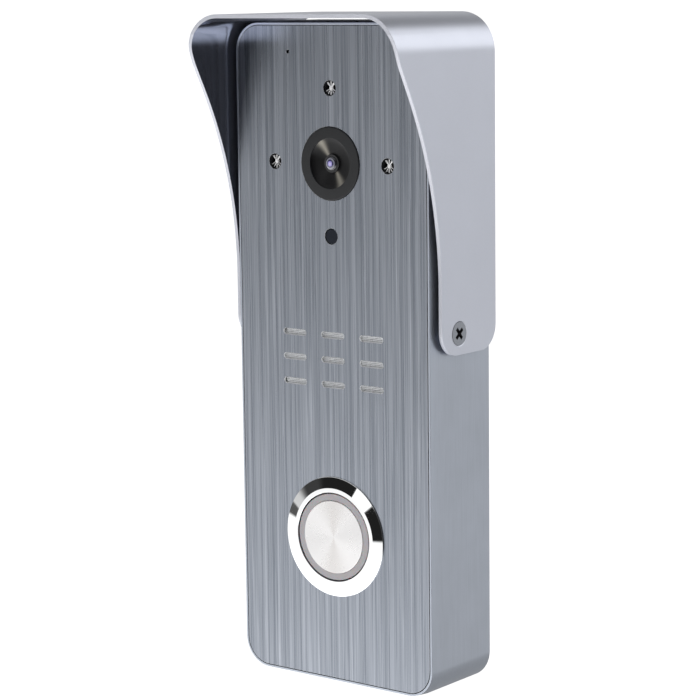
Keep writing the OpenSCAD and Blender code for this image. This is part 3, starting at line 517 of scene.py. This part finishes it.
# Near-white for the plated ribs: a painted reflection of their shine.
reflector_chrome = finish("reflector_chrome", (0.95, 0.95, 0.96), 0.1, 0.3, variation=0.1, grain=2500.0,
                          depth=2e-6)
cup_black = finish("cup_black", (0.012, 0.012, 0.014), 0.0, 0.4, variation=0.3, grain=2500.0, depth=2e-6,
                   Specular_IOR_Level=0.2)
lamp_clear = finish("lamp_clear", (0.03, 0.03, 0.03), 0.0, 0.08, variation=0.2, spread=0.03, grain=900.0,
                    depth=5e-7, Specular_IOR_Level=0.2)
RIM_R = 1.5 * MM
FIT = 0.02 * MM
ACROSS = Matrix.Rotation(math.radians(90), 4, "X")
TIP_IN = Matrix.Rotation(math.radians(180), 4, "X")
for side in ("top", "left", "right"):
    cup_low, cup_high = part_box("reflector_" + side)
    lamp_low, lamp_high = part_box("lamp_" + side)
    spot = middle("lamp_" + side)
    cup_r, lamp_r = (cup_high.x - cup_low.x) / 2, (lamp_high.x - lamp_low.x) / 2
    flange_y = bezel_high.y - 0.9 * MM
    cup = turned([(RIM_R, cup_low.y), (RIM_R, flange_y), (cup_r, flange_y), (cup_r, cup_high.y),
                  (lamp_r + FIT, cup_high.y), (lamp_r + FIT, cup_low.y + 0.5 * MM),
                  (RIM_R - 0.12 * MM, cup_low.y)], spot, 48, closed=True)
    funnel = list(cup.faces)
    hub = Matrix.Translation((spot.x, cup_low.y + 0.32 * MM, spot.z))
    bmesh.ops.create_cone(cup, cap_ends=True, segments=24, radius1=0.5 * MM, radius2=0.36 * MM,
                          depth=0.3 * MM, matrix=hub @ ACROSS)
    ribs_at = Matrix.Translation((spot.x, cup_low.y + 0.28 * MM, spot.z))
    outwards = Matrix.Translation((0, 0, 0.9 * MM))
    for angle, rib_w in RIBS.items():
        rib = bmesh.ops.create_cone(cup, cap_ends=True, segments=4, radius1=rib_w * 0.8 * MM,
                                    radius2=rib_w * 0.4 * MM, depth=1.0 * MM)["verts"]
        leaning = Matrix.Rotation(math.radians(angle), 4, "Y")
        bmesh.ops.transform(cup, matrix=ribs_at @ leaning @ outwards @ TIP_IN, verts=rib)
    bmesh.ops.recalc_face_normals(cup, faces=cup.faces)
    for face in funnel:
        face.material_index = 1
    piece("reflector_" + side + "_piece", cup, [reflector_chrome, cup_black], "reflector_" + side,
          smooth=30)
    tip = cup_low.y + 0.75 * MM
    dome = [(lamp_r * math.sin(a), tip + lamp_r * 0.6 * (1 - math.cos(a))) for a in quarter(8)]
    piece("lamp_" + side + "_piece", turned(dome + [(lamp_r, lamp_high.y), (0.0, lamp_high.y)], spot, 48),
          [lamp_clear], "lamp_" + side)
eased("light_carrier", black_plastic, 0.2 * MM)

# Light sensor.
# A smoked window in front of a brown ceramic photocell.
smoked_plastic = finish("smoked_plastic", (0.010, 0.012, 0.018), 0.0, 0.12, variation=0.3, grain=1500.0,
                        depth=1e-6, Specular_IOR_Level=0.25, Specular_Tint=(0.75, 0.85, 1.0, 1.0))
eased("sensor_window", smoked_plastic, 0.15 * MM, 3)
cell_ceramic = finish("cell_ceramic", (0.45, 0.2, 0.08), 0.0, 0.5, variation=0.3, grain=2500.0, depth=8e-6)
eased("sensor_cell", cell_ceramic, 0.1 * MM)

# Speaker.
# A small paper-cone speaker in a pressed steel basket, sealed to the plate with a foam ring. A disc
# of woven wire backs the sound slots.
mesh_steel = finish("mesh_steel", (0.93, 0.94, 0.96), 0.35, 0.35, variation=0.3, grain=1800.0, depth=8e-6)
basket_steel = finish("basket_steel", (0.45, 0.46, 0.48), 1.0, 0.38, variation=0.2, grain=1800.0, depth=6e-6)
cone_paper = finish("cone_paper", (0.035, 0.032, 0.03), 0.0, 0.85, variation=0.5, grain=2400.0, depth=3e-5)
magnet_ferrite = finish("magnet_ferrite", (0.04, 0.04, 0.045), 0.3, 0.6, variation=0.4, grain=2200.0,
                        depth=1e-5)
WIRE_GAP = 0.32 * MM
WIRE_R = 0.09 * MM


def woven_disc():
    """Plain-woven wire cut to the disc of the speaker's mesh."""
    low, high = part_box("speaker_mesh")
    centre, disc_r = (low + high) / 2, (high.x - low.x) / 2 - WIRE_R
    rise = (high.y - low.y) / 2 - WIRE_R
    curve = bpy.data.curves.new("wires", "CURVE")
    curve.dimensions = "3D"
    curve.bevel_depth = WIRE_R
    curve.bevel_resolution = 0
    curve.use_fill_caps = True
    most = int(disc_r / WIRE_GAP)
    for upright in (0, 1):
        for row in range(-most, most + 1):
            reach = int(math.sqrt(disc_r ** 2 - (row * WIRE_GAP) ** 2) / WIRE_GAP + 0.4)
            if reach < 1:
                continue
            wire = curve.splines.new("POLY")
            wire.points.add(2 * reach)
            for point, step in zip(wire.points, range(-reach, reach + 1)):
                over = rise if (row + step + upright) % 2 else -rise
                across, along = (row, step) if upright else (step, row)
                point.co = (centre.x + across * WIRE_GAP, centre.y + over, centre.z + along * WIRE_GAP, 1.0)
    source = bpy.data.objects.new("wires", curve)
    mesh = bpy.data.meshes.new_from_object(source)
    bm = bmesh.new()
    bm.from_mesh(mesh)
    bpy.data.objects.remove(source)
    bpy.data.meshes.remove(mesh)
    return bm


piece("speaker_mesh_piece", woven_disc(), [mesh_steel], "speaker_mesh")
eased("speaker_gasket", black_foam, 0.1 * MM)
eased("speaker_frame", basket_steel, 0.12 * MM)
eased("speaker_cone", cone_paper, 0.03 * MM)
eased("speaker_magnet", magnet_ferrite, 0.3 * MM)

# Microphone.
# A small electret capsule in a rubber boot that seals it to its hole in the plate.
black_rubber = finish("black_rubber", (0.018, 0.018, 0.02), 0.0, 0.65, variation=0.4, grain=1800.0,
                      depth=1e-5)
capsule_aluminium = finish("capsule_aluminium", (0.7, 0.71, 0.73), 1.0, 0.35, variation=0.15, grain=2400.0,
                           depth=4e-6)
eased("mic_boot", black_rubber, 0.15 * MM)
eased("mic_capsule", capsule_aluminium, 0.15 * MM)

# Call button.
# A turned and chromed bezel with a threaded barrel, clamped to the plate by a brass nut. A clear
# plunger slides in it on a spring, with a spun metal cap in its face and a lit ring round the cap.
BORE_R, CHAMBER_R, BARREL_R = 9.3 * MM, 10.1 * MM, 11.0 * MM
SEAL_R, SEAL_DEEP = 11.6 * MM, 0.2 * MM
bezel_chrome = finish("bezel_chrome", (0.86, 0.865, 0.87), 1.0, 0.025, variation=0.04, spread=0.02,
                      grain=1200.0, depth=2e-7)
ring_low, ring_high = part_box("button_bezel")
hub_at = middle("button_bezel")
cap_steel = spun("cap_steel", (0.8, 0.8, 0.8), 0.80, 0.28, hub_at, Anisotropic=0.7)
# Darker fans at the top and bottom of the button's cap: painted shade of its spun finish.
paint_reflection_fans(cap_steel, 0, 9.0, (0.80, 0.79, 0.79), (0.70, 0.68, 0.67))
plunger_clear = finish("plunger_clear", (0.50, 0.48, 0.50), 0.0, 0.30, variation=0.1, grain=2000.0,
                       depth=3e-6, Subsurface_Weight=0.3, Subsurface_Scale=0.001)
nut_brass = finish("nut_brass", (0.72, 0.52, 0.26), 1.0, 0.32, variation=0.2, grain=1500.0, depth=5e-6)
pin_brass = finish("pin_brass", (0.80, 0.60, 0.25), 1.0, 0.28, variation=0.15, grain=1500.0, depth=3e-6)
spring_steel = finish("spring_steel", (0.62, 0.63, 0.66), 1.0, 0.25, variation=0.15, grain=2500.0,
                      depth=3e-6)
outer_r = (ring_high.x - ring_low.x) / 2
lip_y = plate_face - 0.25 * MM
chamber_y = plate_face + 1.7 * MM
thread = []
for turn_count in range(11):
    root_y = plate_face + (0.9 + turn_count) * MM
    if root_y < ring_high.y - 0.5 * MM:
        thread += [(BARREL_R, root_y - 0.45 * MM), (BARREL_R - 0.3 * MM, root_y)]
ring_outline = [(BORE_R, ring_low.y + 0.05 * MM), (BORE_R + 0.05 * MM, ring_low.y),
                (BORE_R + 0.9 * MM, ring_low.y), (outer_r - 0.06 * MM, lip_y - 0.03 * MM),
                (outer_r, lip_y + 0.03 * MM), (outer_r, plate_face), (SEAL_R, plate_face),
                (SEAL_R, plate_face - SEAL_DEEP), (BARREL_R + 0.1 * MM, plate_face - SEAL_DEEP),
                (BARREL_R + 0.1 * MM, plate_face)] + thread + [
                (BARREL_R - 0.1 * MM, ring_high.y), (CHAMBER_R, ring_high.y),
                (CHAMBER_R, chamber_y), (BORE_R, chamber_y)]
piece("button_bezel_piece", turned(ring_outline, hub_at, 160, closed=True), [bezel_chrome], "button_bezel",
      smooth=7)
cap_low, cap_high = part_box("button_cap")
cap_r = (cap_high.x - cap_low.x) / 2
cap_outline = [(0.0, cap_low.y + 0.05 * MM), (cap_r - 0.12 * MM, cap_low.y),
               (cap_r - 0.03 * MM, cap_low.y + 0.03 * MM), (cap_r, cap_low.y + 0.12 * MM),
               (cap_r, cap_high.y), (0.0, cap_high.y)]
piece("button_cap_piece", turned(cap_outline, hub_at, 128), [cap_steel], "button_cap")
eased("button_plunger", plunger_clear, 0.06 * MM)
eased("button_seal", black_rubber, 0.03 * MM)
eased("button_nut", nut_brass, 0.15 * MM)
eased("button_switch", black_plastic, 0.15 * MM)
eased("button_terminals", pin_brass, 0.05 * MM)
# The spring is left where it stands and moves with neither the contact block nor the plunger.
coil_low, coil_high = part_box("button_spring")
piece("button_spring_piece", shape_of("button_spring"), [spring_steel], "button_spring",
      between=("station", "button", (0, coil_high.y, hub_at.z), (0, coil_low.y, hub_at.z)))

# Circuit boards and what stands on them.
# Glass-fibre boards under green lacquer. The main one is screwed to posts on the back cover.
board_green = finish("board_green", (0.02, 0.13, 0.06), 0.0, 0.30, variation=0.3, grain=900.0, depth=1e-5,
                     Coat_Weight=0.5, Coat_Roughness=0.15)
chip_black = finish("chip_black", (0.02, 0.02, 0.022), 0.0, 0.55, variation=0.3, grain=2600.0, depth=6e-6)
capacitor_sleeve = finish("capacitor_sleeve", (0.04, 0.07, 0.2), 0.0, 0.3, variation=0.15, grain=1500.0,
                          depth=3e-6)
terminal_green = finish("terminal_green", (0.05, 0.30, 0.12), 0.0, 0.45, variation=0.2, grain=2000.0,
                        depth=6e-6)
for node, material, width in (
        ("camera_board", board_green, 0.1), ("light_board", board_green, 0.1),
        ("main_board", board_green, 0.15), ("processor", chip_black, 0.1),
        ("capacitor", capacitor_sleeve, 0.4), ("terminal_block", terminal_green, 0.15)):
    eased(node, material, width * MM)

# Back cover, its seal and the cable's grommet.
# Moulded black plastic that closes the back on a rubber cord, with slots for the bracket's hooks.
eased("back_cover", black_plastic, 0.2 * MM)
eased("cover_seal", black_rubber, 0.1 * MM)
eased("cable_grommet", black_rubber, 0.25 * MM, 3)

# Wall bracket and fasteners.
# A folded sheet of zinc-plated steel stays on the wall. The housing hangs on its two hooks and is
# locked by one screw from below.
bracket_steel = finish("bracket_steel", (0.60, 0.61, 0.63), 1.0, 0.38, variation=0.25, spread=0.2,
                       grain=700.0, depth=4e-6)
nut_steel = finish("nut_steel", (0.66, 0.67, 0.69), 1.0, 0.32, variation=0.15, grain=1500.0, depth=4e-6)
eased("wall_bracket", bracket_steel, 0.15 * MM)
cross_screw("lock_screw", 0.08 * MM, axis=2, side=-1, reach=1.6 * MM, depth=0.9 * MM)
for corner in ("tl", "tr", "bl", "br"):
    eased("plate_nut_" + corner, nut_steel, 0.12 * MM)
    cross_screw("cover_screw_" + corner, 0.08 * MM, axis=1, side=1, reach=1.3 * MM, depth=0.9 * MM)

# Studio.
# A pale floor well below the unit, which hangs as it does on a wall. Soft light comes from all
# round, with dark flags and bright cards in front that draw the lines in the polished metal.
FLOOR_DROP = 0.32
FLOOR_REACH = 90.0


def build_floor():
    """A wide white floor."""
    bm = bmesh.new()
    bmesh.ops.create_grid(bm, x_segments=8, y_segments=8, size=FLOOR_REACH)
    bmesh.ops.translate(bm, vec=(0, 0, -FLOOR_DROP), verts=bm.verts)
    mesh = bpy.data.meshes.new("floor")
    bm.to_mesh(mesh)
    bm.free()
    white = bpy.data.materials.new("floor_white")
    white.use_nodes = True
    shader = white.node_tree.nodes["Principled BSDF"]
    shader.inputs["Base Color"].default_value = (0.9, 0.9, 0.9, 1.0)
    shader.inputs["Roughness"].default_value = 0.9
    shader.inputs["Emission Color"].default_value = (1.0, 1.0, 1.0, 1.0)
    shader.inputs["Emission Strength"].default_value = 0.6
    mesh.materials.append(white)
    floor = bpy.data.objects.new("floor", mesh)
    bpy.context.scene.collection.objects.link(floor)
    floor.visible_glossy = False


build_floor()


def build_sky():
    """Soft light by direction: brightest below and pale above, with flags and cards at set places."""
    world = bpy.data.worlds.new("studio")
    bpy.context.scene.world = world
    world.use_nodes = True
    tree = world.node_tree
    tree.nodes.clear()
    split = tree.nodes.new("ShaderNodeSeparateXYZ")
    tree.links.new(tree.nodes.new("ShaderNodeTexCoord").outputs["Generated"], split.inputs["Vector"])
    x, y, z = split.outputs

    def ramp(value, low, high):
        """0 below low, 1 above high, smooth between."""
        made = add(tree, "ShaderNodeMapRange", interpolation_type="SMOOTHSTEP", From_Min=low, From_Max=high)
        tree.links.new(value, made.inputs["Value"])
        return made.outputs["Result"]

    def both(a, b):
        return math_node(tree, "MULTIPLY", a, b)

    def inverse(a):
        return math_node(tree, "SUBTRACT", 1.0, a)

    front = math_node(tree, "MULTIPLY", y, -1.0)
    around = math_node(tree, "ARCTAN2", math_node(tree, "MULTIPLY", x, -1.0), front)

    def sector(low, high, soft, last=None):
        """1 between two directions in degrees, counted from the front towards the left."""
        last = last or soft
        rise = ramp(around, math.radians(low - soft), math.radians(low + soft))
        fall = inverse(ramp(around, math.radians(high - last), math.radians(high + last)))
        return both(rise, fall)

    def band(low, high, soft):
        return both(ramp(z, low - soft, low + soft), inverse(ramp(z, high - soft, high + soft)))

    def paint(level, mask, value):
        """Brings the level to value wherever the mask is 1."""
        made = add(tree, "ShaderNodeMix", data_type="FLOAT")
        tree.links.new(mask, made.inputs[0])
        if isinstance(level, float):
            made.inputs[2].default_value = level
        else:
            tree.links.new(level, made.inputs[2])
        made.inputs[3].default_value = value
        return made.outputs[0]

    behind = inverse(sector(-100, 100, 12))
    # The room itself: the ceiling, then the glow from the floor.
    level = paint(0.70, ramp(z, 0.35, 0.9), 0.75)
    level = paint(level, inverse(ramp(z, -0.50, -0.05)), 2.2)
    # In front: cards and flags that the button's chromed bezel and the plate reflect.
    level = paint(level, both(sector(58, 75, 1), band(-0.30, -0.07, 0.02)), 1.3)
    level = paint(level, both(sector(-80, 8, 10), band(-0.45, 0.60, 0.12)), 0.07)
    level = paint(level, both(sector(26.8, 48, 0.3, 2), band(0.03, 0.34, 0.02)), 0.015)
    level = paint(level, both(sector(44, 53.4, 2, 2.6), band(-0.04, 0.34, 0.02)), 0.05)
    level = paint(level, both(sector(20, 26.8, 0.3), band(-0.08, 0.30, 0.03)), 1.4)
    level = paint(level, both(sector(9, 20, 0.3), band(-0.214, 0.10, 0.01)), 0.015)
    level = paint(level, both(sector(56.8, 60.0, 0.3), band(-0.15, -0.07, 0.01)), 0.10)
    # At the sides and behind: what the hood and the housing's right side reflect.
    level = paint(level, both(behind, inverse(ramp(z, -0.40, -0.18))), 0.40)
    level = paint(level, both(sector(-165, -112, 14), band(-0.30, 0.04, 0.06)), 0.60)
    level = paint(level, both(sector(-136, -118, 4), band(-0.30, 0.0, 0.06)), 0.85)
    level = paint(level, both(behind, ramp(z, 0.62, 0.72)), 0.30)
    level = paint(level, both(sector(-168, -112, 5), band(0.12, 0.66, 0.05)), 1.40)
    level = paint(level, both(inverse(sector(-172, 152, 4)), ramp(z, 0.48, 0.56)), 0.16)
    level = paint(level, both(sector(105, 180, 12), band(-0.1, 0.40, 0.1)), 0.5)
    # The view itself sees plain white.
    seen = tree.nodes.new("ShaderNodeLightPath").outputs["Is Camera Ray"]
    level = paint(level, seen, 1.0)
    light = add(tree, "ShaderNodeBackground", Color=(1.0, 1.0, 1.0, 1.0))
    tree.links.new(level, light.inputs["Strength"])
    tree.links.new(light.outputs["Background"], tree.nodes.new("ShaderNodeOutputWorld").inputs["Surface"])


build_sky()
bpy.context.scene.view_settings.view_transform = "Standard"

# View.
# A long lens to the right of the unit and a little above it, turned a hair about its own axis.
AROUND, ABOVE, ROLL = math.radians(38.045), math.radians(8.651), math.radians(-0.695)
AWAY = 487.873 * MM
back = Vector((math.sin(AROUND) * math.cos(ABOVE), -math.cos(AROUND) * math.cos(ABOVE), math.sin(ABOVE)))
right = Vector((math.cos(AROUND), math.sin(AROUND), 0.0))
up = back.cross(right)
aim = Vector((4.434, -20.0, 2.107)) * MM
view = bpy.data.cameras.new("view")
view.lens = 124.12
view.sensor_width = 36.0
view.clip_start = 0.01
camera = bpy.data.objects.new("camera", view)
bpy.context.scene.collection.objects.link(camera)
turn = Matrix((right * math.cos(ROLL) + up * math.sin(ROLL),
               up * math.cos(ROLL) - right * math.sin(ROLL), back))
camera.matrix_world = Matrix.Translation(aim + back * AWAY) @ turn.transposed().to_4x4()
bpy.context.scene.camera = camera
